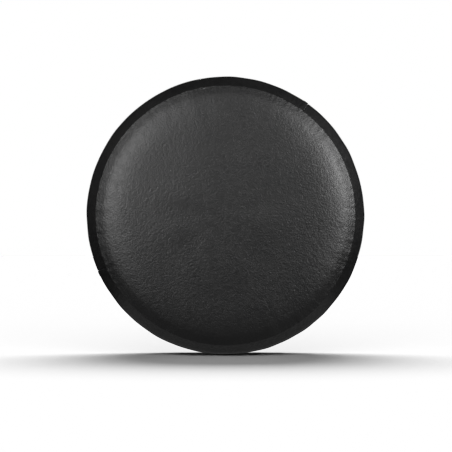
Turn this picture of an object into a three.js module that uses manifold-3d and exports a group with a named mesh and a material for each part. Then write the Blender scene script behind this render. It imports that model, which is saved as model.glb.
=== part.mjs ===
// A soft spare tyre cover for a 28 inch tyre. A round vinyl face is sewn to a tread band in two lengths,
// and a folded strip round the band's rear edge holds the elastic that gathers the mouth behind the tyre.
// Millimetres. +Y runs along the wheel's axis, from the face into the cover; +Z is up.
// The origin is on that axis, at the seat: the inside of the face, where the tyre's outer sidewall rests.
import * as THREE from "three";
import { mergeVertices } from "three/addons/utils/BufferGeometryUtils.js";
import Module from "manifold-3d";

const wasm = await Module();
wasm.setup();

// The tyre that the cover is cut for.
const TYRE_DIAMETER = 711;
const TYRE_WIDTH = 216;

// The cloth: leather-grained vinyl over a soft felt lining.
const VINYL = 0.9;
const LINING = 0.8;
const GAP = 0.3; // between pieces that touch
const SEGMENTS = 40; // facets round the wheel's axis
const SEAT_TO_VINYL = LINING + GAP + VINYL / 2; // from the tyre out to the middle of the vinyl
const BAND_RADIUS = TYRE_DIAMETER / 2 + SEAT_TO_VINYL;

// The face: flat over the rim, then bending back over the sidewall to its seam.
const SEAT_RADIUS = 225;
const FACE_TILT = 38; // degrees, just before the seam
const FACE_EDGE = 18; // straight stretch that runs into the seam

// The seam between face and band: both edges turn inwards and lie against each other.
const ALLOWANCE = 10.5;
const ALLOWANCE_HEADING = 130;
const FOLD_RADIUS = 1.1;
const STITCH_PLANE = VINYL / 2 + GAP / 2; // from an edge's middle to the plane where the two meet

// The tread band, from the seam back to the hem.
const BAND_TILT = 58; // degrees, just behind the seam
const SHOULDER_RADIUS = 45;
const REAR_SHOULDER = { radius: 60, turn: 78 };
const REAR_SLOPE = 35;
const REAR_LIP = { radius: 60, turn: 17 };
const REAR_EDGE = 10; // straight stretch that runs under the hem's strip
const BAND_JOINS = { upper: 53.4, lower: 203.6 }; // degrees round the axis from +X towards +Z
const JOIN_HALF_GAP = 0.03; // degrees

// The hem: a vinyl strip folded over the band's rear edge, with the elastic in the fold. The strip's ends
// stop short of each other at the bottom, where the elastic was drawn in and its own ends are sewn.
const CASING_DEPTH = 12;
const CASING_LAP = 7; // how far each side of the strip lies over the band's edge
const CASING_OPENING = 36;
const ELASTIC = { width: 8, height: 1.2, chamfer: 0.3 };
const ELASTIC_LAP = 20;
const ELASTIC_STEP = 3;
const ELASTIC_STITCHES = { length: 14, width: 5.5 };

// Tapes and thread.
const TAPE = 0.8;
const TAPE_WIDTH = 25;
const BINDING_DEPTH = 9;
const THREAD = 0.7;
const STITCH_INSET = 5;

const vinylLook = { color: 0x161616, roughness: 0.5, metalness: 0 };
const liningLook = { color: 0x3a3b3d, roughness: 0.95, metalness: 0 };
const tapeLook = { color: 0x1b1b1c, roughness: 0.8, metalness: 0 };
const threadLook = { color: 0x101010, roughness: 0.6, metalness: 0 };
const elasticLook = { color: 0x262626, roughness: 0.85, metalness: 0 };

const radians = THREE.MathUtils.degToRad;

// ---- Profiles: points (distance from the axis, y), walked along the middle of the vinyl ----

const straight = (length) => ({ length });
const bend = (radius, turn, steps) => ({ radius, turn, steps });

// Walks straight stretches and left-hand bends from a start point and a heading in degrees.
function walk(start, heading, moves) {
  const points = [start.clone()];
  let at = start.clone();
  let angle = radians(heading);
  for (const move of moves) {
    const steps = move.steps ?? 1;
    for (let i = 0; i < steps; i++) {
      const next = angle + radians(move.turn ?? 0) / steps;
      const go = move.radius
        ? new THREE.Vector2(Math.sin(next) - Math.sin(angle), Math.cos(angle) - Math.cos(next))
        : new THREE.Vector2(Math.cos(angle), Math.sin(angle));
      at = at.clone().addScaledVector(go, move.radius ?? move.length);
      points.push(at);
      angle = next;
    }
  }
  return points;
}

const rightOf = (from, to) => new THREE.Vector2(to.y - from.y, from.x - to.x).normalize();

// The path moved to its right, which is the cover's outside; a negative distance moves it inwards.
function offset(path, distance) {
  return path.map((point, i) => {
    const before = rightOf(path[Math.max(i - 1, 0)], path[Math.max(i, 1)]);
    const after = rightOf(path[Math.min(i, path.length - 2)], path[Math.min(i + 1, path.length - 1)]);
    const mitre = before.add(after).normalize();
    return point.clone().addScaledVector(mitre, distance / mitre.dot(after));
  });
}

// A layer of cloth between two offsets of a path, as a closed outline.
function layer(path, inside, outside) {
  const outline = [...offset(path, outside), ...offset(path, inside).reverse()];
  return outline[0].x > 0 ? [...outline, outline[0]] : outline;
}

// A flat bar's outline with its corners cut off, centred on a point.
function bar(radius, y, { width, height, chamfer }) {
  const [a, b] = [width / 2, height / 2];
  const corners = [
    [-a + chamfer, -b],
    [a - chamfer, -b],
    [a, -b + chamfer],
    [a, b - chamfer],
    [a - chamfer, b],
    [-a + chamfer, b],
    [-a, b - chamfer],
    [-a, -b + chamfer],
  ];
  const outline = corners.map(([x, z]) => new THREE.Vector2(radius + x, y + z));
  return [...outline, outline[0]];
}

// The corners of a rectangle round its own middle.
const rectangle = (length, width) => [
  new THREE.Vector2(-length / 2, -width / 2),
  new THREE.Vector2(length / 2, -width / 2),
  new THREE.Vector2(length / 2, width / 2),
  new THREE.Vector2(-length / 2, width / 2),
];

const ring = (outline) => new THREE.LatheGeometry(outline, SEGMENTS);

// A ring of thread, whose square section stands on its corner.
function threadRing(centre) {
  const half = THREAD / 2;
  const sides = [new THREE.Vector2(0, -half), new THREE.Vector2(half, 0), new THREE.Vector2(0, half)];
  const outline = [...sides, new THREE.Vector2(-half, 0)].map((corner) => corner.add(centre));
  return ring([...outline, outline[0]]);
}

// ---- Booleans ----

function solid(geometry) {
  const bare = new THREE.BufferGeometry();
  bare.setAttribute("position", geometry.getAttribute("position"));
  bare.setIndex(geometry.index);
  const merged = mergeVertices(bare, 1e-3);
  return new wasm.Manifold(
    new wasm.Mesh({
      numProp: 3,
      vertProperties: merged.getAttribute("position").array,
      triVerts: new Uint32Array(merged.index.array),
    }),
  );
}

function geometryOf(manifold) {
  const mesh = manifold.getMesh();
  const geometry = new THREE.BufferGeometry();
  geometry.setAttribute("position", new THREE.BufferAttribute(mesh.vertProperties, 3));
  geometry.setIndex(new THREE.BufferAttribute(mesh.triVerts, 1));
  geometry.computeVertexNormals();
  return geometry;
}

const common = (a, b) => geometryOf(solid(a).intersect(solid(b)));
const cut = (a, b) => geometryOf(solid(a).subtract(solid(b)));

// A prism about the axis that holds everything between two angles, in degrees from +X towards +Z.
function sector(from, to) {
  const reach = 2 * BAND_RADIUS;
  const wedge = new THREE.Shape([new THREE.Vector2(0, 0)]);
  const steps = Math.ceil((to - from) / 30);
  for (let i = 0; i <= steps; i++) {
    const angle = radians(from + ((to - from) * i) / steps);
    wedge.lineTo(reach * Math.cos(angle), reach * Math.sin(angle));
  }
  const prism = new THREE.ExtrudeGeometry(wedge, { depth: 2 * reach, bevelEnabled: false });
  return prism.translate(0, 0, -reach).rotateX(Math.PI / 2);
}

// A slab of a given width, standing on a half-plane through the axis and moved sideways from it.
function slab(angle, width, sideways = 0) {
  const reach = 2 * BAND_RADIUS;
  const box = new THREE.BoxGeometry(reach, 2 * reach, width);
  return box.translate(reach / 2, 0, sideways).rotateY(-radians(angle));
}

function piece(name, geometry, look) {
  const mesh = new THREE.Mesh(geometry, new THREE.MeshStandardMaterial(look));
  mesh.name = name;
  return mesh;
}

// ---- The face ----

const facePath = walk(new THREE.Vector2(0, -SEAT_TO_VINYL), 0, [
  straight(SEAT_RADIUS),
  bend(1000, 1),
  bend(330, 4),
  bend(130, 13, 2),
  bend(64, FACE_TILT - 18, 3),
  straight(FACE_EDGE),
]);
const faceEdge = facePath.at(-1);
const faceHem = walk(faceEdge, FACE_TILT, [
  bend(FOLD_RADIUS, ALLOWANCE_HEADING - FACE_TILT, 3),
  straight(ALLOWANCE),
]);

// The directions of the turned-in edges: along them, and across from the face's edge to the band's.
const along = new THREE.Vector2(Math.cos(radians(ALLOWANCE_HEADING)), Math.sin(radians(ALLOWANCE_HEADING)));
const across = new THREE.Vector2(along.y, -along.x);
const allowanceEnd = faceHem.at(-1).clone().addScaledVector(across, STITCH_PLANE);

function makeFace() {
  const vinyl = layer([...facePath, ...faceHem.slice(1)], -VINYL / 2, VINYL / 2);
  const lining = layer(facePath, -SEAT_TO_VINYL, -VINYL / 2 - GAP);
  const face = new THREE.Group();
  face.add(piece("face_panel", ring(vinyl), vinylLook));
  face.add(piece("face_lining", ring(lining), liningLook));
  return face;
}

// ---- The tread band ----

const bandStart = allowanceEnd.clone().addScaledVector(across, STITCH_PLANE);
const bandHem = walk(bandStart, ALLOWANCE_HEADING - 180, [
  straight(ALLOWANCE),
  bend(FOLD_RADIUS, BAND_TILT + 180 - ALLOWANCE_HEADING, 4),
]);
const shoulderRise = SHOULDER_RADIUS * (1 - Math.sin(radians(BAND_TILT)));
const coneLength = (BAND_RADIUS - bandHem.at(-1).x - shoulderRise) / Math.cos(radians(BAND_TILT));
const shoulderPath = walk(bandHem.at(-1), BAND_TILT, [
  straight(coneLength),
  bend(SHOULDER_RADIUS, 90 - BAND_TILT, 3),
]);
const rearMoves = [
  bend(REAR_SHOULDER.radius, REAR_SHOULDER.turn, 6),
  straight(REAR_SLOPE),
  bend(REAR_LIP.radius, REAR_LIP.turn, 2),
  straight(REAR_EDGE),
];
const rearBulge = Math.max(...walk(new THREE.Vector2(), 90, rearMoves).map((point) => point.y));
const treadLength = TYRE_WIDTH + SEAT_TO_VINYL - rearBulge - shoulderPath.at(-1).y;
const bandPath = [
  ...shoulderPath,
  ...walk(shoulderPath.at(-1), 90, [straight(treadLength), ...rearMoves]).slice(1),
];
const bandEnd = bandPath.at(-1);

// The band's lining starts clear of the turned-in seam, and the tapes also end clear of the hem's strip.
const liningPath = [bandPath[0].clone().lerp(bandPath[1], 0.3), ...bandPath.slice(1)];
const tapePath = liningPath.slice(0, -1);

function makeBand() {
  const vinyl = ring(layer([...bandHem, ...bandPath.slice(1)], -VINYL / 2, VINYL / 2));
  const lining = ring(layer(liningPath, -SEAT_TO_VINYL, -VINYL / 2 - GAP));
  const tape = ring(layer(tapePath, -SEAT_TO_VINYL - GAP - TAPE, -SEAT_TO_VINYL - GAP));
  const outside = VINYL / 2 + GAP;
  const thread = ring(layer(tapePath, outside, outside + THREAD));
  const { upper, lower } = BAND_JOINS;
  const left = sector(upper + JOIN_HALF_GAP, lower - JOIN_HALF_GAP);
  const right = sector(lower + JOIN_HALF_GAP, upper + 360 - JOIN_HALF_GAP);

  const band = new THREE.Group();
  band.add(piece("tread_band_left", common(vinyl, left), vinylLook));
  band.add(piece("tread_band_right", common(vinyl, right), vinylLook));
  band.add(piece("band_lining_left", common(lining, left), liningLook));
  band.add(piece("band_lining_right", common(lining, right), liningLook));
  for (const [place, angle] of Object.entries(BAND_JOINS)) {
    band.add(piece(`join_tape_${place}`, common(tape, slab(angle, TAPE_WIDTH)), tapeLook));
    band.add(piece(`join_thread_${place}`, common(thread, slab(angle, THREAD, STITCH_INSET)), threadLook));
  }
  return band;
}

// ---- The seam's binding tape and its stitching ----

// A point beside the turned-in edges: back from their end, and across from the plane where they meet.
const besideSeam = (back, sideways) =>
  allowanceEnd.clone().addScaledVector(along, -back).addScaledVector(across, sideways);

function makeSeam() {
  const inner = STITCH_PLANE + VINYL / 2 + GAP;
  const outer = inner + TAPE;
  const binding = [
    besideSeam(BINDING_DEPTH, outer),
    besideSeam(-GAP - TAPE, outer),
    besideSeam(-GAP - TAPE, -outer),
    besideSeam(BINDING_DEPTH, -outer),
    besideSeam(BINDING_DEPTH, -inner),
    besideSeam(-GAP, -inner),
    besideSeam(-GAP, inner),
    besideSeam(BINDING_DEPTH, inner),
  ];
  const row = outer + GAP + THREAD / 2;
  const seam = new THREE.Group();
  seam.add(piece("seam_binding", ring([...binding, binding[0]]), tapeLook));
  seam.add(piece("seam_thread_front", threadRing(besideSeam(STITCH_INSET, -row)), threadLook));
  seam.add(piece("seam_thread_rear", threadRing(besideSeam(STITCH_INSET, row)), threadLook));
  return seam;
}

// ---- The elastic hem ----

const bandEndHeading = 90 + REAR_SHOULDER.turn + REAR_LIP.turn;
const foldRadius = (SEAT_TO_VINYL + VINYL + GAP + VINYL / 2 + GAP) / 2;

// A point beside the band's rear edge: on from the edge, and across to the cover's outside.
function besideEdge(on, outwards) {
  const forward = new THREE.Vector2(Math.cos(radians(bandEndHeading)), Math.sin(radians(bandEndHeading)));
  const outward = new THREE.Vector2(forward.y, -forward.x);
  return bandEnd.clone().addScaledVector(forward, on).addScaledVector(outward, outwards);
}

function makeHem() {
  const outerSide = VINYL + GAP;
  const innerSide = outerSide - 2 * foldRadius;
  const side = straight(CASING_LAP + CASING_DEPTH - foldRadius);
  const fold = [side, bend(foldRadius, 180, 4), side];
  const strip = walk(besideEdge(-CASING_LAP, outerSide), bandEndHeading, fold);
  const opening = slab(-90, CASING_OPENING);
  const row = VINYL / 2 + GAP + THREAD / 2;
  const outerRow = threadRing(besideEdge(-CASING_LAP / 2, outerSide + row));
  const innerRow = threadRing(besideEdge(-CASING_LAP / 2, innerSide - row));

  const hem = new THREE.Group();
  hem.add(piece("hem_casing", cut(ring(layer(strip, -VINYL / 2, VINYL / 2)), opening), vinylLook));
  hem.add(piece("hem_thread_outer", cut(outerRow, opening), threadLook));
  hem.add(piece("hem_thread_inner", cut(innerRow, opening), threadLook));
  hem.add(makeElastic(besideEdge(CASING_DEPTH / 2, (outerSide + innerSide) / 2)));
  return hem;
}

// The elastic's loop: one end steps up and lies on the other, and a box of stitches holds the two together.
function makeElastic(centre) {
  const { width, height } = ELASTIC;
  const rise = height + GAP;
  const slit = slab(-90, GAP, (ELASTIC_LAP + GAP) / 2);
  const stepStart = ELASTIC_LAP / 2 + GAP;
  const step = new THREE.BoxGeometry(ELASTIC_STEP, height + rise, width);
  step.translate(stepStart + ELASTIC_STEP / 2, rise / 2, 0);
  const tongue = new THREE.BoxGeometry(ELASTIC_LAP + GAP + ELASTIC_STEP, height, width);
  tongue.translate((GAP + ELASTIC_STEP) / 2, rise, 0);
  const lap = solid(step).add(solid(tongue)).translate(0, centre.y, -centre.x);
  const loop = solid(ring(bar(centre.x, centre.y, ELASTIC))).subtract(solid(slit));

  const stitches = new THREE.Shape(rectangle(ELASTIC_STITCHES.length, ELASTIC_STITCHES.width));
  const inside = rectangle(ELASTIC_STITCHES.length - 2 * THREAD, ELASTIC_STITCHES.width - 2 * THREAD);
  stitches.holes.push(new THREE.Path(inside));
  const thread = new THREE.ExtrudeGeometry(stitches, { depth: THREAD, bevelEnabled: false });
  thread.rotateX(-Math.PI / 2);
  const elastic = new THREE.Group();
  elastic.add(piece("hem_elastic", geometryOf(loop.add(lap)), elasticLook));
  const threadPiece = piece("elastic_thread", thread, threadLook);
  threadPiece.position.set(0, centre.y + rise + height / 2 + GAP, -centre.x);
  elastic.add(threadPiece);
  return elastic;
}

const cover = new THREE.Group();
cover.add(makeFace(), makeBand(), makeSeam(), makeHem());
export default cover;
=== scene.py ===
"""A soft spare tyre cover of black grained vinyl, shown as it sits on a tyre.

Lengths are in metres, in the frame's own axes: +Y runs along the wheel's axis from the face into the
cover, and +Z is up."""

import math

import bpy
import numpy as np
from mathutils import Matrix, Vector


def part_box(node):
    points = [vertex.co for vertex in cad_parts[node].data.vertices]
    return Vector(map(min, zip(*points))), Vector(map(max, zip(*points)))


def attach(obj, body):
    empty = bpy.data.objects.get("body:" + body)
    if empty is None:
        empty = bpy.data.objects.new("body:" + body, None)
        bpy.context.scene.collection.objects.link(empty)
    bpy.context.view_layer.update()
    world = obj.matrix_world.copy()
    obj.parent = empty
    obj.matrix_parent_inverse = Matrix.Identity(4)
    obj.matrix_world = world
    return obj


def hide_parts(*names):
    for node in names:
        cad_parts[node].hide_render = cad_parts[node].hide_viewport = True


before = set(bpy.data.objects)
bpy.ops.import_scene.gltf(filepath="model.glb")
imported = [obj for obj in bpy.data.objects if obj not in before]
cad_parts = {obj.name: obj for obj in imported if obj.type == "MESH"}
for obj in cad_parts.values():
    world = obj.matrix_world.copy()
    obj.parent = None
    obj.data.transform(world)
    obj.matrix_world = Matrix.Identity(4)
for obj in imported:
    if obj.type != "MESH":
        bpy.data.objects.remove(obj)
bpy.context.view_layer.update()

# ---- Sizes that the frame gives ----
face_low, face_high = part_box("face_panel")
band_low, band_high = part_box("tread_band_right")
elastic_low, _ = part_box("hem_elastic")
thread_low, thread_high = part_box("elastic_thread")

FACE_PLANE = face_low.y
SEAM_RADIUS = face_high.x
OUTER_RADIUS = band_high.x
REAR_PLANE = band_high.y
ELASTIC_RADIUS = -(thread_low.z + thread_high.z) / 2  # the box of stitches is at the bottom of the loop

# ---- The layers of cloth ----
VINYL = 0.0009
LINING = 0.0008
TAPE = 0.0008
GAP = 0.0003  # between one layer and the next

# ---- The cover's profile as it is cut. Headings and turns are in degrees ----
FLAT_RADIUS = 0.225
FACE_TILT = 32
# Each bend of the face: its radius, its heading at the start and its heading at the end.
FACE_BENDS = [(1.0, 0, 1), (0.33, 1, 5), (0.18, 5, 15), (0.060, 15, FACE_TILT)]
FOLD_RADIUS = 0.0012  # where the cloth turns into the seam
SEAM_SINK = 0.0010  # how much deeper the band turns in than the face
ALLOWANCE = 0.0095  # how far face and band go on behind the seam
ALLOWANCE_HEADING = 150
BAND_TILT = 64
SHOULDER_RADIUS = 0.090
CROWN = 4  # how far the tread falls off to each side
CROWN_RADIUS = 0.30
REAR_RADIUS = 0.060
REAR_TURN = 78
REAR_SLOPE = 0.035
LIP_TURN = 17
REAR_EDGE = 0.010
JOINS = {"upper": 53.4, "lower": 203.6}  # round the axis from +X towards +Z

# ---- How finely the cloth is meshed ----
STEP = 0.0028  # along the profile
ARC_STEP = math.radians(14)
COLUMNS = 900  # round the axis


# ---- Profiles: (radius, y) walked along the outer skin ----
def straight(length):
    return length, 0.0


def bend(radius, turn):
    return radius * math.radians(turn), math.radians(turn)


def walk(start, heading, moves):
    """Arc length, radius, y and heading along straight stretches and left-hand bends."""
    rows = [(0.0, start[0], start[1], math.radians(heading))]
    for length, turn in moves:
        steps = max(2, math.ceil(length / STEP), math.ceil(turn / ARC_STEP))
        chord = length / steps
        for _ in range(steps):
            s, r, y, angle = rows[-1]
            middle = angle + turn / steps / 2
            after = (s + chord, r + chord * math.cos(middle), y + chord * math.sin(middle))
            rows.append((*after, angle + turn / steps))
    return np.array(rows).T


def rise(radius, start, end):
    """How far outwards a bend goes between two headings."""
    return radius * (math.sin(math.radians(end)) - math.sin(math.radians(start)))


face_bent = sum(rise(*each) for each in FACE_BENDS)
face_fold = FOLD_RADIUS * (1 - math.sin(math.radians(FACE_TILT)))
face_edge = (SEAM_RADIUS - FLAT_RADIUS - face_bent - face_fold) / math.cos(math.radians(FACE_TILT))
face_moves = [straight(FLAT_RADIUS)]
face_moves += [bend(radius, end - start) for radius, start, end in FACE_BENDS]
face_moves += [straight(face_edge)]
seam_length = sum(length for length, _ in face_moves)
face_turn_in = [bend(FOLD_RADIUS, ALLOWANCE_HEADING - FACE_TILT), straight(ALLOWANCE)]
face_path = walk((0, FACE_PLANE), 0, face_moves + face_turn_in)

# The band starts beside the end of the face's allowance, and runs back along it to the seam.
allowance_angle = math.radians(ALLOWANCE_HEADING)
along_allowance = np.array([math.cos(allowance_angle), math.sin(allowance_angle)])
across_allowance = np.array([math.sin(allowance_angle), -math.cos(allowance_angle)])
band_start = face_path[1:3, -1] + across_allowance * GAP
band_heading = ALLOWANCE_HEADING - 180
turn_in_moves = [straight(ALLOWANCE - SEAM_SINK), bend(FOLD_RADIUS, BAND_TILT - band_heading)]
band_edge = walk(band_start, band_heading, turn_in_moves)[1:3, -1]
shoulder_out = rise(SHOULDER_RADIUS, BAND_TILT, 90 - CROWN) + rise(CROWN_RADIUS, 90 - CROWN, 90)
cone = (OUTER_RADIUS - band_edge[0] - shoulder_out) / math.cos(math.radians(BAND_TILT))
front_moves = turn_in_moves + [straight(cone), bend(SHOULDER_RADIUS, 90 - CROWN - BAND_TILT)]
front_moves += [bend(CROWN_RADIUS, CROWN)]
rear_moves = [bend(CROWN_RADIUS, CROWN), bend(REAR_RADIUS, REAR_TURN - CROWN), straight(REAR_SLOPE)]
rear_moves += [bend(REAR_RADIUS, LIP_TURN), straight(REAR_EDGE)]
rear_bulge = walk((0, 0), 90, rear_moves)[2].max()
tread = REAR_PLANE - rear_bulge - walk(band_start, band_heading, front_moves)[2, -1]
band_path = walk(band_start, band_heading, front_moves + [straight(tread)] + rear_moves)
band_seam_s = sum(length for length, _ in turn_in_moves)
tread_end_s = sum(length for length, _ in front_moves) + tread
band_end_s = band_path[0, -1]


# ---- Irregularity that closes on itself round the axis ----
# Each kind of unevenness: its height, the fewest and the most waves to the turn, and its seed.
SEAM_PUCKERS = (0.00030, 60, 190, 31)
FACE_WAVES = (0.0005, 2, 9, 11)
FACE_PULLS = (0.00035, 14, 55, 37)
TREAD_DENTS = (0.0004, 8, 45, 61)
BAND_CREASES = (0.00025, 5, 40, 71)
BAND_WRINKLES = (0.00020, 90, 240, 131)
TAPE_WAVES = (0.0006, 30, 120, 91)
HEM_RUFFLES = (0.12, 40, 160, 83)  # a share of the hem's thickness
WAVE_SLOPE = 0.5  # how fast waves get lower as they get shorter


def ripple(theta, low, high, seed):
    """Noise round the axis with a standard deviation of 1, from waves of low to high to the turn."""
    rng = np.random.default_rng(seed)
    waves = np.arange(low, high + 1)
    size = waves.astype(float) ** -WAVE_SLOPE
    phase = rng.uniform(0, 2 * np.pi, len(waves))
    total = sum(a * np.cos(k * theta + p) for k, a, p in zip(waves, size, phase))
    return total / math.sqrt((size**2).sum() / 2)


def uneven(theta, kind):
    """Unevenness of one kind, at angles round the axis."""
    height, low, high, seed = kind
    return height * ripple(theta, low, high, seed)


def drifting(theta, s, kind, reach):
    """Unevenness that changes into another of its kind over each reach along the profile."""
    height, low, high, seed = kind
    total = np.zeros(np.broadcast(theta, s).shape)
    for i in range(math.ceil(s.max() / reach) + 2):
        weight = np.clip(1 - np.abs(s / reach - i), 0, 1)
        total += np.sin(weight * np.pi / 2) * ripple(theta, low, high, seed + i)
    return height * total


def smooth(value, low, high):
    """From 0 at low to 1 at high, level at both ends."""
    t = np.clip((value - low) / (high - low), 0, 1)
    return t * t * (3 - 2 * t)


def fading(distance, reach):
    return np.exp(-distance / reach)


# ---- How far the cloth stands off its profile. Reaches are along the profile ----
DOME = 0.0120
TURN_IN_FADE = 0.002  # how far into the seam its puckers go
FACE_WAVE_REACH = 0.09
FACE_WAVE_STARTS = 0.12  # from the centre
FACE_WAVE_ENDS = 0.08  # from the seam
FACE_PUCKER_REACH = 0.012
PULL_REACH = 0.035

BAND_PUCKER_REACH = 0.010
CREASE_REACH = 0.05
CREASE_STARTS = (0.004, 0.030)  # from none to all, in distance from the seam
WRINKLE_REACH = 0.010
WRINKLE_STARTS = (0.003, 0.012)
WRINKLE_ENDS = (0.035, 0.065)  # from all to none
DENT_REACH = 0.03  # forward from the tread's rear end

PLEATS = 36  # round the axis, behind the tread
PLEAT_SEED = 51
HEM_PLEAT_SEED = 57
PLEAT_WANDER = 1.0  # how far a fold strays from its even place, in radians of the folds' own phase
PLEAT_SPREAD = 0.22  # how much the folds' depths differ
PLEAT_SHARPNESS = 0.22  # of the valleys
PLEAT_LEVEL = 0.35  # how far their middle level stands out
FULLNESS = 0.85  # how deep the folds are for the cloth that there is to take up
GATHER_START = 0.010  # before the tread's rear end
HEM_PLEATS_START = 0.035  # behind the tread's rear end
HEM_PLEATS_END = 0.020  # before the band's edge


def face_lift(theta, s):
    dome = DOME * (1 - np.clip(s / seam_length, 0, 1) ** 2)
    from_seam = np.clip(seam_length - s, 0, None)
    waves = drifting(theta, s, FACE_WAVES, FACE_WAVE_REACH)
    waves *= smooth(from_seam, 0, FACE_WAVE_ENDS) * smooth(s, 0, FACE_WAVE_STARTS)
    sewn = smooth(seam_length + TURN_IN_FADE - s, 0, TURN_IN_FADE)
    pucker = sewn * fading(from_seam, FACE_PUCKER_REACH) * uneven(theta, SEAM_PUCKERS)
    pull = fading(from_seam, PULL_REACH) * uneven(theta, FACE_PULLS)
    return dome + waves + pucker + pull


def pleat(theta, count, seed):
    """Folds of uneven width and depth, with round crests and tight valleys."""
    phase = count * theta + PLEAT_WANDER * ripple(theta, 2, count // 2, seed)
    depth = 1 + PLEAT_SPREAD * ripple(theta, 3, count, seed + 1)
    return depth * (np.cos(phase) - PLEAT_SHARPNESS * np.cos(2 * phase) + PLEAT_LEVEL)


def gathers(theta, s):
    """Folds that take up the width which the cloth has to spare behind the tread, and which get narrower
    towards the hem, where there are twice as many."""
    radius = np.interp(s, band_path[0], band_path[1])
    spare = np.sqrt(np.clip(OUTER_RADIUS / radius - 1, 0, None))
    spare = spare * smooth(s, tread_end_s - GATHER_START, tread_end_s)
    near_hem = smooth(s, tread_end_s + HEM_PLEATS_START, band_end_s - HEM_PLEATS_END)
    wide = pleat(theta, PLEATS, PLEAT_SEED) * np.cos(near_hem * np.pi / 2)
    narrow = pleat(theta, 2 * PLEATS, HEM_PLEAT_SEED) * np.sin(near_hem * np.pi / 2)
    return FULLNESS * radius / PLEATS * spare * (wide + narrow / 2)


def band_lift(theta, s):
    from_seam = np.clip(s - band_seam_s, 0, None)
    sewn = smooth(s, band_seam_s - TURN_IN_FADE, band_seam_s)
    pucker = fading(from_seam, BAND_PUCKER_REACH) * uneven(theta, SEAM_PUCKERS)
    crease = smooth(from_seam, *CREASE_STARTS) * drifting(theta, s, BAND_CREASES, CREASE_REACH)
    near_seam = smooth(from_seam, *WRINKLE_STARTS) * (1 - smooth(from_seam, *WRINKLE_ENDS))
    wrinkle = near_seam * drifting(theta, s, BAND_WRINKLES, WRINKLE_REACH)
    dent = fading(np.clip(tread_end_s - s, 0, None), DENT_REACH) * uneven(theta, TREAD_DENTS)
    return gathers(theta, s) + sewn * (pucker + crease + wrinkle + dent)


# ---- Surfaces ----
TINY = 1e-12


def all_round():
    return np.linspace(0, 2 * np.pi, COLUMNS, endpoint=False)


def round_axis(radius, y, theta):
    """Points or directions at angles round the axis."""
    return np.stack(np.broadcast_arrays(radius * np.cos(theta), y, radius * np.sin(theta)), axis=-1)


def surface(path, theta, lift):
    """A grid of points [round the axis, along the profile]. A positive lift is outwards."""
    s, r, y, heading = path
    theta = theta[:, None]
    off = lift(theta, s[None, :])
    return round_axis(r + np.sin(heading) * off, y - np.cos(heading) * off, theta)


def band_point(theta, s):
    """Points on the band's outer skin, for angles and arc lengths of the same shape."""
    theta, s = np.broadcast_arrays(theta, s)
    r, y, heading = (np.interp(s, band_path[0], column) for column in band_path[1:])
    off = band_lift(theta, s)
    return round_axis(r + np.sin(heading) * off, y - np.cos(heading) * off, theta)


def unit(vectors):
    return vectors / np.linalg.norm(vectors, axis=-1, keepdims=True)


def normals(grid, closed):
    """Outward unit normals of a grid. At the face's centre, where they can't be told, they face forwards."""
    ahead = np.roll(grid, -1, axis=0) - np.roll(grid, 1, axis=0) if closed else np.gradient(grid, axis=0)
    along = np.gradient(grid, axis=1)
    cross = np.cross(along, ahead)
    size = np.linalg.norm(cross, axis=-1, keepdims=True)
    flat = size < TINY
    return np.where(flat, [0.0, -1.0, 0.0], cross / np.where(flat, 1.0, size))


def quads(rows, columns, closed_rows, closed_columns=False):
    """Corner indexes of the faces between neighbouring points of a grid."""
    i = np.arange(rows if closed_rows else rows - 1)[:, None]
    j = np.arange(columns if closed_columns else columns - 1)[None, :]
    next_i = (i + 1) % rows
    next_j = (j + 1) % columns
    corners = [i * columns + j, i * columns + next_j, next_i * columns + next_j, next_i * columns + j]
    return np.stack([np.broadcast_to(c, (i.size, j.size)) for c in corners], axis=-1).reshape(-1, 4)


def mesh_object(name, points, faces, material):
    """A smooth-shaded mesh from points and a list of arrays of faces, one for each number of sides."""
    sizes = np.concatenate([np.full(len(group), group.shape[1]) for group in faces])
    mesh = bpy.data.meshes.new(name)
    mesh.vertices.add(points.size // 3)
    mesh.vertices.foreach_set("co", points.ravel())
    mesh.loops.add(int(sizes.sum()))
    mesh.loops.foreach_set("vertex_index", np.concatenate([group.ravel() for group in faces]))
    mesh.polygons.add(len(sizes))
    mesh.polygons.foreach_set("loop_start", np.cumsum(sizes) - sizes)
    mesh.update(calc_edges=True)
    mesh.materials.append(material)
    mesh.shade_smooth()
    piece = bpy.data.objects.new(name, mesh)
    bpy.context.scene.collection.objects.link(piece)
    return piece


def meet_at_poles(points, faces, poles):
    """Merges each pole's points into one, so that the four-sided faces there become triangles."""
    kept = np.arange(len(points))
    for pole in poles:
        kept[pole] = pole[0]
    used = np.unique(kept)
    renumber = np.zeros(len(points), dtype=int)
    renumber[used] = np.arange(len(used))
    faces = renumber[kept[faces]]
    first_pole = faces[:, 0] == faces[:, 3]
    last_pole = faces[:, 1] == faces[:, 2]
    triangles = np.concatenate([faces[first_pole][:, [0, 1, 2]], faces[last_pole][:, [0, 1, 3]]])
    return points[used], [faces[~(first_pole | last_pole)], triangles]


def cloth(name, outer, thickness, material, closed, has_pole=False):
    """A closed layer of cloth under a grid of its outer side's points."""
    inner = outer - normals(outer, closed) * thickness
    rows, columns = outer.shape[:2]
    width = 2 * columns
    points = np.concatenate([outer, inner[:, ::-1]], axis=1).reshape(-1, 3)
    faces = quads(rows, width, closed, not has_pole)
    if has_pole:
        first = np.arange(rows) * width
        return mesh_object(name, *meet_at_poles(points, faces, (first, first + width - 1)), material)
    if closed:
        return mesh_object(name, points, [faces], material)
    sides = []
    for row in (0, rows - 1):
        near = np.arange(columns - 1) + row * width
        far = row * width + width - 1 - np.arange(columns - 1)
        side = np.stack([near, far, far - 1, near + 1], axis=-1)
        sides.append(side[:, ::-1] if row == 0 else side)
    return mesh_object(name, points, [np.concatenate([faces, *sides])], material)


def finish_piece(piece, slot, *nodes):
    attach(piece, "root")
    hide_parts(*nodes)


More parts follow.
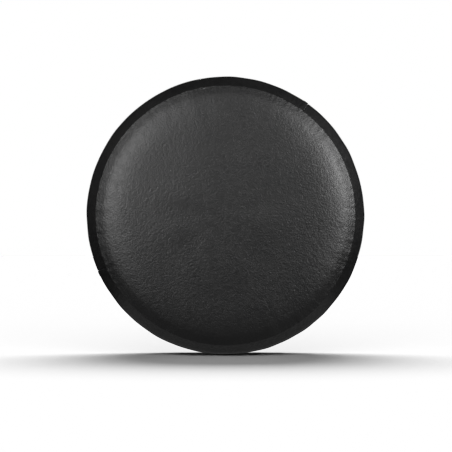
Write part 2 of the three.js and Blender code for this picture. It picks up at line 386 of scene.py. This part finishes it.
# ---- Materials ----
def node(tree, kind, inputs=None, **settings):
    made = tree.nodes.new(kind)
    for key, value in settings.items():
        setattr(made, key, value)
    for key, value in (inputs or {}).items():
        if isinstance(value, bpy.types.NodeSocket):
            tree.links.new(value, made.inputs[key])
        else:
            made.inputs[key].default_value = value
    return made


def new_material(name):
    """A material, its nodes, its shader, and the place on the object for its patterns."""
    material = bpy.data.materials.new(name)
    material.use_nodes = True
    tree = material.node_tree
    place = node(tree, "ShaderNodeTexCoord").outputs["Object"]
    return material, tree, tree.nodes["Principled BSDF"], place


def noise(tree, place, scale, detail, roughness=0.5):
    inputs = {"Vector": place, "Scale": scale, "Detail": detail, "Roughness": roughness}
    return node(tree, "ShaderNodeTexNoise", inputs).outputs


def cells(tree, place, scale, randomness=1.0, feature="F1"):
    inputs = {"Vector": place, "Scale": scale, "Randomness": randomness}
    return node(tree, "ShaderNodeTexVoronoi", inputs, feature=feature).outputs["Distance"]


def multiplied(tree, first, second):
    inputs = {"Factor": 1.0, "A": first, "B": second}
    return node(tree, "ShaderNodeMix", inputs, data_type="RGBA", blend_type="MULTIPLY").outputs["Result"]


def stops(tree, value, *pairs):
    """A colour ramp through (position, grey or colour) pairs."""
    ramp = node(tree, "ShaderNodeValToRGB", {"Fac": value})
    elements = ramp.color_ramp.elements
    while len(elements) < len(pairs):
        elements.new(0.5)
    for element, (position, colour) in zip(elements, pairs):
        element.position = position
        element.color = (*colour, 1) if isinstance(colour, tuple) else (colour, colour, colour, 1)
    return ramp.outputs["Color"]


def vinyl_material():
    material, tree, shader, place = new_material("black_vinyl")
    wander = noise(tree, place, scale=60.0, detail=2.0)["Color"]
    strayed = {"Factor": 0.004, "A": place, "B": wander}
    bent_place = node(tree, "ShaderNodeMix", strayed, data_type="VECTOR").outputs["Result"]
    pebbles = cells(tree, bent_place, scale=420.0, randomness=0.95, feature="DISTANCE_TO_EDGE")
    creases = cells(tree, bent_place, scale=150.0, feature="DISTANCE_TO_EDGE")
    broad = noise(tree, place, scale=14.0, detail=3.0)["Fac"]
    swells = noise(tree, place, scale=100.0, detail=3.0)["Fac"]
    grain = noise(tree, place, scale=230.0, detail=3.0)["Fac"]
    fine = noise(tree, place, scale=2200.0, detail=3.0)["Fac"]
    pebble_height = stops(tree, pebbles, (0.0, 0.0), (0.16, 0.8), (0.45, 1.0))
    crease_height = stops(tree, creases, (0.0, 0.0), (0.10, 1.0))
    bumps = [
        (swells, 0.0008),
        (grain, 0.0011),
        (crease_height, 0.00006),
        (pebble_height, 0.00007),
        (fine, 0.00001),
    ]
    normal = None
    for height, depth in bumps:
        inputs = {"Height": height, "Distance": depth}
        if normal:
            inputs["Normal"] = normal
        normal = node(tree, "ShaderNodeBump", inputs).outputs["Normal"]
    tree.links.new(normal, shader.inputs["Normal"])
    colour = stops(tree, broad, (0.3, (0.0040, 0.0040, 0.0042)), (0.7, (0.0070, 0.0069, 0.0069)))
    # Painted shade: the base colour falls to 0.55 of itself in the valleys between the grain's pebbles,
    # following the bump's height.
    grain_valley_shade = stops(tree, pebble_height, (0.0, 0.55), (0.7, 1.0))
    tree.links.new(multiplied(tree, colour, grain_valley_shade), shader.inputs["Base Color"])
    tree.links.new(stops(tree, swells, (0.3, 0.39), (0.7, 0.50)), shader.inputs["Roughness"])
    shader.inputs["Specular IOR Level"].default_value = 0.5
    return material


def felt_material():
    material, tree, shader, place = new_material("grey_felt")
    hairs = noise(tree, place, scale=900.0, detail=6.0, roughness=0.7)["Fac"]
    clumps = noise(tree, place, scale=70.0, detail=4.0)["Fac"]
    colour = stops(tree, clumps, (0.3, (0.085, 0.087, 0.092)), (0.7, (0.140, 0.142, 0.150)))
    speckle = stops(tree, hairs, (0.3, 0.6), (0.7, 1.0))
    tree.links.new(multiplied(tree, colour, speckle), shader.inputs["Base Color"])
    shader.inputs["Roughness"].default_value = 0.95
    shader.inputs["Sheen Weight"].default_value = 0.35
    shader.inputs["Sheen Roughness"].default_value = 0.5
    bump = node(tree, "ShaderNodeBump", {"Height": hairs, "Distance": 0.0004, "Strength": 0.8})
    tree.links.new(bump.outputs["Normal"], shader.inputs["Normal"])
    return material


def woven_material(name, dark, light, scale):
    material, tree, shader, place = new_material(name)
    weave = cells(tree, place, scale, randomness=0.35)
    fuzz = noise(tree, place, scale / 3, detail=4.0)["Fac"]
    tree.links.new(stops(tree, fuzz, (0.3, dark), (0.7, light)), shader.inputs["Base Color"])
    shader.inputs["Roughness"].default_value = 0.8
    shader.inputs["Sheen Weight"].default_value = 0.2
    inputs = {"Height": weave, "Distance": 0.0003, "Strength": 0.8}
    bump = node(tree, "ShaderNodeBump", inputs, invert=True)
    tree.links.new(bump.outputs["Normal"], shader.inputs["Normal"])
    return material


VINYL_LOOK = vinyl_material()
FELT_LOOK = felt_material()
TAPE_LOOK = woven_material("ribbed_tape", (0.014, 0.014, 0.015), (0.028, 0.028, 0.029), 900.0)
THREAD_LOOK = woven_material("polyester_thread", (0.010, 0.010, 0.011), (0.024, 0.024, 0.025), 2600.0)
ELASTIC_LOOK = woven_material("braided_elastic", (0.020, 0.020, 0.021), (0.042, 0.042, 0.043), 1100.0)


# ---- Thread ----
STITCH = 0.0046  # from one stitch to the next
STITCH_LENGTH = 0.0038
STITCH_DIP = 0.0005  # how far a stitch's ends go into the cloth
VINYL_STITCH_LIFT = 0.00012
TAPE_STITCH_LIFT = 0.00010
THREAD_RADIUS = 0.00035
THREAD_SIDES = 6
THREAD_RINGS = 7
THREAD_TIP = 0.04  # the least share of the thread's section, at a stitch's ends


def stitches_between(centres, spans, outward, lifted):
    """A short arched length of thread for each centre, whose two ends dip into the cloth."""
    t = np.linspace(-1, 1, THREAD_RINGS)
    spin = np.linspace(0, 2 * np.pi, THREAD_SIDES, endpoint=False)[:, None]
    along = (outward * spans).sum(-1, keepdims=True) / (spans**2).sum(-1, keepdims=True)
    outward = unit(outward - spans * along)
    sideways = unit(np.cross(spans, outward))
    radius = THREAD_RADIUS * np.sqrt(np.clip(1 - t**6, THREAD_TIP, 1))
    middle = centres[:, None] + spans[:, None] * t[:, None] / 2
    middle = middle + outward[:, None] * (lifted - STITCH_DIP * t**4)[:, None]
    ring = np.cos(spin) * sideways[:, None] + np.sin(spin) * outward[:, None]
    points = middle[:, :, None] + ring[:, None] * radius[:, None, None]
    one = quads(THREAD_RINGS, THREAD_SIDES, False, True)
    per_stitch = THREAD_RINGS * THREAD_SIDES
    first = np.arange(len(centres))[:, None] * per_stitch
    sides = (one.ravel() + first).reshape(-1, 4)
    start_cap = np.arange(THREAD_SIDES) + first
    end_cap = per_stitch - 1 - np.arange(THREAD_SIDES) + first
    return points, [sides, np.concatenate([start_cap, end_cap])]


def stitch_row(at, place, outward):
    """A stitch at each distance along a row on the vinyl. place gives the row's points."""
    spans = place(at + STITCH_LENGTH / 2) - place(at - STITCH_LENGTH / 2)
    return stitches_between(place(at), spans, outward, VINYL_STITCH_LIFT)


def finish_stitches(name, stitches, row):
    finish_piece(mesh_object(name, *stitches, THREAD_LOOK), "thread", row)


# ---- The face ----
def make_face():
    outer = surface(face_path, all_round(), face_lift)
    panel = cloth("face_cloth", outer, VINYL, VINYL_LOOK, closed=True, has_pole=True)
    finish_piece(panel, "vinyl", "face_panel")
    to_seam = slice(np.searchsorted(face_path[0], seam_length))
    lined = outer[:, to_seam] - normals(outer, True)[:, to_seam] * (VINYL + GAP)
    felt = cloth("face_felt", lined, LINING, FELT_LOOK, closed=True, has_pole=True)
    finish_piece(felt, "lining", "face_lining")


# ---- The tread band, in two lengths that meet at the cross seams ----
JOIN_ALLOWANCE = 0.0022
JOIN_HALF_GAP = JOIN_ALLOWANCE / 4
EDGE_SHARES = np.array([0, 0.15, 0.4, 1])  # where the mesh's columns lie in the cloth that turns in
RIDGE = 0.0010  # the turned-in edges under the start of each length
RIDGE_WIDTH = 0.012
RIDGE_END = 0.004
LINING_START = 0.012  # behind the seam
JOIN_TAPE_WIDTH = 0.025
JOIN_TAPE_COLUMNS = 13
JOIN_STITCH_INSET = 0.005
MIDDLE_RING = (0.285, 0.105)  # radius and y of a ring in the middle of the tyre


def strip_angles(start, end):
    """Angles from one cross seam to the next, close together where the cloth turns into the seam."""
    half_gap = math.degrees(JOIN_HALF_GAP / OUTER_RADIUS)
    edge = math.degrees(JOIN_ALLOWANCE / OUTER_RADIUS)
    first = start + half_gap + EDGE_SHARES * edge
    last = end - half_gap - EDGE_SHARES[::-1] * edge
    count = round((end - start) / 360 * COLUMNS)
    return np.radians(np.concatenate([first, np.linspace(first[-1], last[0], count)[1:-1], last]))


def turned_in(theta, start, end):
    """How far the cloth has turned down towards a cross seam, from 0 to 1."""
    edge = JOIN_ALLOWANCE / OUTER_RADIUS
    near = np.minimum(theta - math.radians(start), math.radians(end) - theta)
    return 1 - np.sqrt(1 - (1 - np.clip(near / edge, 0, 1)) ** 2)


def make_band(side, start, end):
    theta = strip_angles(start, end)
    sunk = JOIN_ALLOWANCE * turned_in(theta, start, end)[:, None]
    from_join = (theta - math.radians(start)) * OUTER_RADIUS
    ridge = RIDGE * (1 - smooth(from_join, RIDGE_WIDTH, RIDGE_WIDTH + RIDGE_END))[:, None]

    def lift(angle, s):
        return band_lift(angle, s) + ridge - sunk

    band = cloth(f"band_cloth_{side}", surface(band_path, theta, lift), VINYL, VINYL_LOOK, closed=False)
    finish_piece(band, "vinyl", f"tread_band_{side}")
    path = band_path[:, np.searchsorted(band_path[0], band_seam_s + LINING_START) :]
    full = surface(path, theta, band_lift)
    lined = full - normals(full, False) * (VINYL + GAP)
    felt = cloth(f"band_felt_{side}", lined, LINING, FELT_LOOK, closed=False)
    finish_piece(felt, "lining", f"band_lining_{side}")


def outward_at(points):
    """A rough outward direction, away from the ring in the middle of the tyre."""
    radius, y = MIDDLE_RING
    ring = unit(points * [1, 0, 1]) * radius + [0, y, 0]
    return unit(points - ring)


def make_join(place, angle):
    """The tape behind a cross seam, and the row of stitches beside it."""
    half = JOIN_TAPE_WIDTH / 2 / OUTER_RADIUS
    theta = angle + np.linspace(-half, half, JOIN_TAPE_COLUMNS)
    start = band_seam_s + LINING_START
    path = band_path[:, (band_path[0] > start) & (band_path[0] < band_end_s - REAR_EDGE)]
    full = surface(path, theta, band_lift)
    under = full - normals(full, False) * (VINYL + LINING + 2 * GAP)
    tape = cloth(f"join_tape_{place}_cloth", under, TAPE, TAPE_LOOK, closed=False)
    finish_piece(tape, "tape", f"join_tape_{place}")

    def row(s):
        return band_point(angle + JOIN_STITCH_INSET / OUTER_RADIUS, s)

    at = np.arange(path[0, 0], path[0, -1], STITCH)
    stitches = stitch_row(at, row, outward_at(row(at)))
    finish_stitches(f"join_stitches_{place}", stitches, f"join_thread_{place}")


# ---- The tape that binds the seam's turned-in edges, and its stitches ----
BINDING_DEPTH = 0.009  # how far each side reaches over the turned-in edges
BINDING_BOW = 0.7  # how far out the fold's rounding lies, as a share of its corner
SEAM_STITCH_INSET = 0.005


def make_binding(end, side):
    """The folded tape. side is how far its outer skins lie from the middle of the turned-in edges."""
    theta = all_round()
    rim = GAP + TAPE
    leg = [(-BINDING_DEPTH, side), (-BINDING_DEPTH / 2, side), (0, side)]
    half = leg + [(rim * BINDING_BOW, side * BINDING_BOW)]
    section = np.array([(on, -out) for on, out in half] + [(rim, 0)] + half[::-1])
    flat = end + section[:, :1] * along_allowance + section[:, 1:] * across_allowance
    waved = flat + across_allowance * uneven(theta, TAPE_WAVES)[:, None, None]
    ring = round_axis(waved[..., 0], waved[..., 1], theta[:, None])
    tape = cloth("binding_tape", ring, TAPE, TAPE_LOOK, closed=True)
    finish_piece(tape, "tape", "seam_binding")


def make_seam_row(name, row, outward):
    """Stitches all the way round at one radius and y."""
    step = STITCH / row[0]
    angles = np.arange(0, 2 * np.pi - step / 2, step)
    centre = row + across_allowance * uneven(angles, TAPE_WAVES)[:, None]
    points = round_axis(centre[:, 0], centre[:, 1], angles)
    spans = round_axis(STITCH_LENGTH, 0, angles + np.pi / 2)
    stitches = stitches_between(points, spans, round_axis(*outward, angles), TAPE_STITCH_LIFT)
    finish_stitches(f"seam_stitches_{name}", stitches, f"seam_thread_{name}")


def make_seam():
    end = face_path[1:3, -1] + across_allowance * GAP / 2
    side = VINYL + GAP * 1.5 + TAPE
    make_binding(end, side)
    for name, facing in (("front", -across_allowance), ("rear", across_allowance)):
        make_seam_row(name, end - along_allowance * SEAM_STITCH_INSET + facing * side, facing)


# ---- The hem: a strip folded over the band's edge, ruffled with it, and the elastic in the fold ----
CASING_DEPTH = 0.012
CASING_LAP = 0.007
HEM_OPENING = 0.036
EDGE_STEP = 0.004  # back from the band's edge, to find which way the cloth runs there
# Half of the fold's height: the casing's two layers, with the band's vinyl and lining between them.
fold_radius = (VINYL + GAP + VINYL + GAP + LINING + GAP + VINYL) / 2

ELASTIC_WIDTH = 0.008
ELASTIC_HEIGHT = 0.0012
ELASTIC_LAP = 0.010  # from the opening's middle to each end
ELASTIC_HELD = (0.04, 0.12)  # from lying free to lying in the fold, in radians from the opening's middle
ELASTIC_COLUMNS = 9
BOX_STITCH = 0.0026  # from one stitch of the box to the next
BOX_STITCH_SHARE = 0.9  # of that, which is thread


def edge_frame(theta):
    """The band's edge, the way on from it towards the axis, and the way out of the cloth."""
    edge = band_point(theta, band_end_s)
    on = unit(edge - band_point(theta, band_end_s - EDGE_STEP))
    out = unit(np.cross(on, np.gradient(edge, axis=0)))
    return edge, on, out


def interpolated(where, lengths, rows):
    return np.stack([np.interp(where, lengths, column) for column in rows.T], axis=-1)


def make_hem_row(name, line, outward):
    lengths = np.concatenate([[0], np.cumsum(np.linalg.norm(np.diff(line, axis=0), axis=-1))])
    at = np.arange(STITCH, lengths[-1] - STITCH, STITCH)

    def row(where):
        return interpolated(where, lengths, line)

    stitches = stitch_row(at, row, interpolated(at, lengths, outward))
    finish_stitches(f"hem_stitches_{name}", stitches, f"hem_thread_{name}")


def make_hem():
    half_opening = HEM_OPENING / 2 / ELASTIC_RADIUS
    theta = np.linspace(-np.pi / 2 + half_opening, 3 * np.pi / 2 - half_opening, COLUMNS)
    edge, on, out = edge_frame(theta)
    level = GAP + VINYL
    leg = CASING_LAP + CASING_DEPTH - fold_radius
    fold = walk((-CASING_LAP, -level), 0, [straight(leg), bend(fold_radius, 180), straight(leg)])
    forward = fold[1][:, None]
    inward = (fold[2] * (1 + uneven(theta, HEM_RUFFLES)[:, None]))[..., None]
    outer = edge[:, None] + on[:, None] * forward - out[:, None] * inward
    casing = cloth("hem_cloth", outer, VINYL, VINYL_LOOK, closed=False)
    finish_piece(casing, "vinyl", "hem_casing")
    row = edge - on * CASING_LAP / 2
    make_hem_row("outer", row + out * level, out)
    make_hem_row("inner", row - out * (2 * fold_radius - level), -out)


def make_elastic():
    """The elastic's loop, flat in the fold, with its ends lapped in the hem's opening."""
    lap = ELASTIC_LAP / ELASTIC_RADIUS
    last = 3 * np.pi / 2
    angles = np.linspace(-np.pi / 2 - lap, last + lap, COLUMNS)
    inside = smooth(np.minimum(angles + np.pi / 2, last - angles), *ELASTIC_HELD)[:, None]
    edge, on, out = edge_frame(angles)
    ruffled = edge + on * (CASING_DEPTH / 2) - out * (fold_radius - GAP - VINYL)
    over = smooth(angles, last - 3 * lap, last - lap) * (ELASTIC_HEIGHT + GAP)
    plain = round_axis(ELASTIC_RADIUS, elastic_low.y + ELASTIC_HEIGHT / 2 + over, angles)
    middle = plain + (ruffled - plain) * inside
    inwards = unit(on * inside + round_axis(-1, 0, angles) * (1 - inside))
    up = unit(out * inside + np.array([0.0, 1.0, 0.0]) * (1 - inside))
    width = np.linspace(-0.5, 0.5, ELASTIC_COLUMNS)[:, None] * ELASTIC_WIDTH
    outer = middle[:, None] + inwards[:, None] * width + up[:, None] * ELASTIC_HEIGHT / 2
    elastic = cloth("elastic_band", outer, ELASTIC_HEIGHT, ELASTIC_LOOK, closed=False)
    finish_piece(elastic, "elastic", "hem_elastic")


def make_elastic_stitches():
    """A box of stitches, with a cross in it, through the elastic's lapped ends."""
    low, high = thread_low, thread_high
    corners = [(low.x, low.z), (high.x, low.z), (high.x, high.z), (low.x, high.z)]
    lines = [(corners[k], corners[(k + 1) % 4]) for k in range(4)]
    lines += [(corners[0], corners[2]), (corners[1], corners[3])]
    centres, spans = [], []
    for start, end in np.array(lines):
        count = max(1, round(np.linalg.norm(end - start) / BOX_STITCH))
        step = (end - start) / count
        for k in range(count):
            x, z = start + step * (k + 0.5)
            centres.append([x, low.y, z])
            spans.append([step[0] * BOX_STITCH_SHARE, 0, step[1] * BOX_STITCH_SHARE])
    up = np.tile([0.0, 1.0, 0.0], (len(centres), 1))
    stitches = stitches_between(np.array(centres), np.array(spans), up, TAPE_STITCH_LIFT)
    finish_stitches("elastic_stitches", stitches, "elastic_thread")


make_face()
make_band("left", JOINS["upper"], JOINS["lower"])
make_band("right", JOINS["lower"], JOINS["upper"] + 360)
for join, degrees in JOINS.items():
    make_join(join, math.radians(degrees))
make_seam()
make_hem()
make_elastic()
make_elastic_stitches()


# ---- Stage, lights and camera ----
# Each light's angle off the cover's axis, its direction round the axis, its distance, its size and its power.
LIGHTS = {
    "left_key": (46, 150, 1.3, 1.1, 14.0),
    "left_fill": (46, 180, 1.3, 1.1, 4.5),
    "left_rim": (70, 125, 1.9, 0.9, 5.0),
    "top_rim": (60, 84, 1.9, 0.9, 3.6),
    "right_key": (46, 15, 1.3, 1.1, 6.0),
    "right_far": (60, 15, 1.9, 0.9, 22.0),
    "right_rim": (68, 36, 1.9, 1.2, 19.0),
    "back": (178, 90, 3.0, 1.2, 90.0),
}
BOUNCE_SIZE = 1.0
BOUNCE_POWER = 0.4
BOUNCE_HEIGHT = 0.002  # above the floor
# The lights that fall on the floor alone, and give the cover its soft shadow.
FLOOR_LIGHTS = {
    "floor_overhead": (118, 90, 2.4, 1.2, 100.0),
    "floor_front": (30, 90, 2.4, 1.2, 30.0),
}
FLOOR_STRETCH = 2.5  # how many times as wide as high those lights are
FLOOR_REACH = 12.0
FLOOR_DROP = 0.001  # below the cover
AMBIENT = 0.005
MIDDLE = Vector((0, (FACE_PLANE + REAR_PLANE) / 2, 0))

CAMERA_DISTANCE = 5.0  # in front of the frame's origin
CAMERA_SHIFT = (0.0012, -0.0235)
PICTURE_SHARE = 0.6121  # of the picture's width that the cover spans


def make_floor():
    """A pale floor that shows only the shadow that falls on it, on the white of the world."""
    corners = [(x * FLOOR_REACH, y * FLOOR_REACH, 0) for x, y in ((-1, -1), (1, -1), (1, 1), (-1, 1))]
    mesh = bpy.data.meshes.new("floor")
    mesh.from_pydata(corners, [], [(0, 1, 2, 3)])
    floor = bpy.data.objects.new("floor", mesh)
    floor.location.z = -OUTER_RADIUS - FLOOR_DROP
    bpy.context.scene.collection.objects.link(floor)
    material, _, shader, _ = new_material("pale_floor")
    shader.inputs["Base Color"].default_value = (0.9, 0.9, 0.9, 1)
    shader.inputs["Roughness"].default_value = 0.9
    mesh.materials.append(material)
    floor.is_shadow_catcher = True
    floor.visible_diffuse = False
    floor.visible_glossy = False
    return floor


def make_light(name, place, facing, size, power):
    data = bpy.data.lights.new(name, "AREA")
    data.shape = "DISK"
    data.size = size
    data.energy = power
    light = bpy.data.objects.new(name, data)
    light.location = place
    light.rotation_euler = facing.to_track_quat("-Z", "Y").to_euler()
    light.visible_camera = False
    bpy.context.scene.collection.objects.link(light)
    return light


def make_light_round(name, off_axis, around, distance, size, power):
    """A light that faces the cover's middle."""
    off_axis = math.radians(off_axis)
    around = math.radians(around)
    sideways = math.sin(off_axis)
    direction = Vector((sideways * math.cos(around), -math.cos(off_axis), sideways * math.sin(around)))
    return make_light(name, MIDDLE + direction * distance, -direction, size, power)


def link_light(light, floor, state):
    """Lets a light fall on the floor alone, or on everything but the floor."""
    receivers = bpy.data.collections.new(f"{light.name}_receivers")
    receivers.objects.link(floor)
    receivers.collection_objects[0].light_linking.link_state = state
    light.light_linking.receiver_collection = receivers


def make_lights(floor):
    lights = [make_light_round(name, *settings) for name, settings in LIGHTS.items()]
    above_floor = Vector((0, MIDDLE.y, floor.location.z + BOUNCE_HEIGHT))
    lights.append(make_light("bounce", above_floor, Vector((0, 0, 1)), BOUNCE_SIZE, BOUNCE_POWER))
    for light in lights:
        link_light(light, floor, "EXCLUDE")
    for name, settings in FLOOR_LIGHTS.items():
        light = make_light_round(name, *settings)
        light.scale.x = FLOOR_STRETCH
        link_light(light, floor, "INCLUDE")


def make_world():
    """White to the camera, and a faint even light to everything else."""
    world = bpy.data.worlds.new("studio")
    world.use_nodes = True
    tree = world.node_tree
    seen = node(tree, "ShaderNodeLightPath").outputs["Is Camera Ray"]
    ambient, backdrop = (
        node(tree, "ShaderNodeBackground", {"Color": (1, 1, 1, 1), "Strength": strength})
        for strength in (AMBIENT, 1.0)
    )
    inputs = {0: seen, 1: ambient.outputs["Background"], 2: backdrop.outputs["Background"]}
    mix = node(tree, "ShaderNodeMixShader", inputs)
    tree.links.new(mix.outputs["Shader"], tree.nodes["World Output"].inputs["Surface"])
    bpy.context.scene.world = world


def make_camera():
    """A camera square on the cover, with the lens that gives it its share of the picture."""
    data = bpy.data.cameras.new("camera")
    edge_distance = CAMERA_DISTANCE + (band_low.y + band_high.y) / 2
    data.lens = data.sensor_width / 2 * PICTURE_SHARE * edge_distance / OUTER_RADIUS
    data.shift_x, data.shift_y = CAMERA_SHIFT
    camera = bpy.data.objects.new("camera", data)
    camera.location = (0, -CAMERA_DISTANCE, 0)
    camera.rotation_euler = (math.pi / 2, 0, 0)
    bpy.context.scene.collection.objects.link(camera)
    bpy.context.scene.camera = camera


make_lights(make_floor())
make_world()
make_camera()
bpy.context.scene.view_settings.view_transform = "Standard"
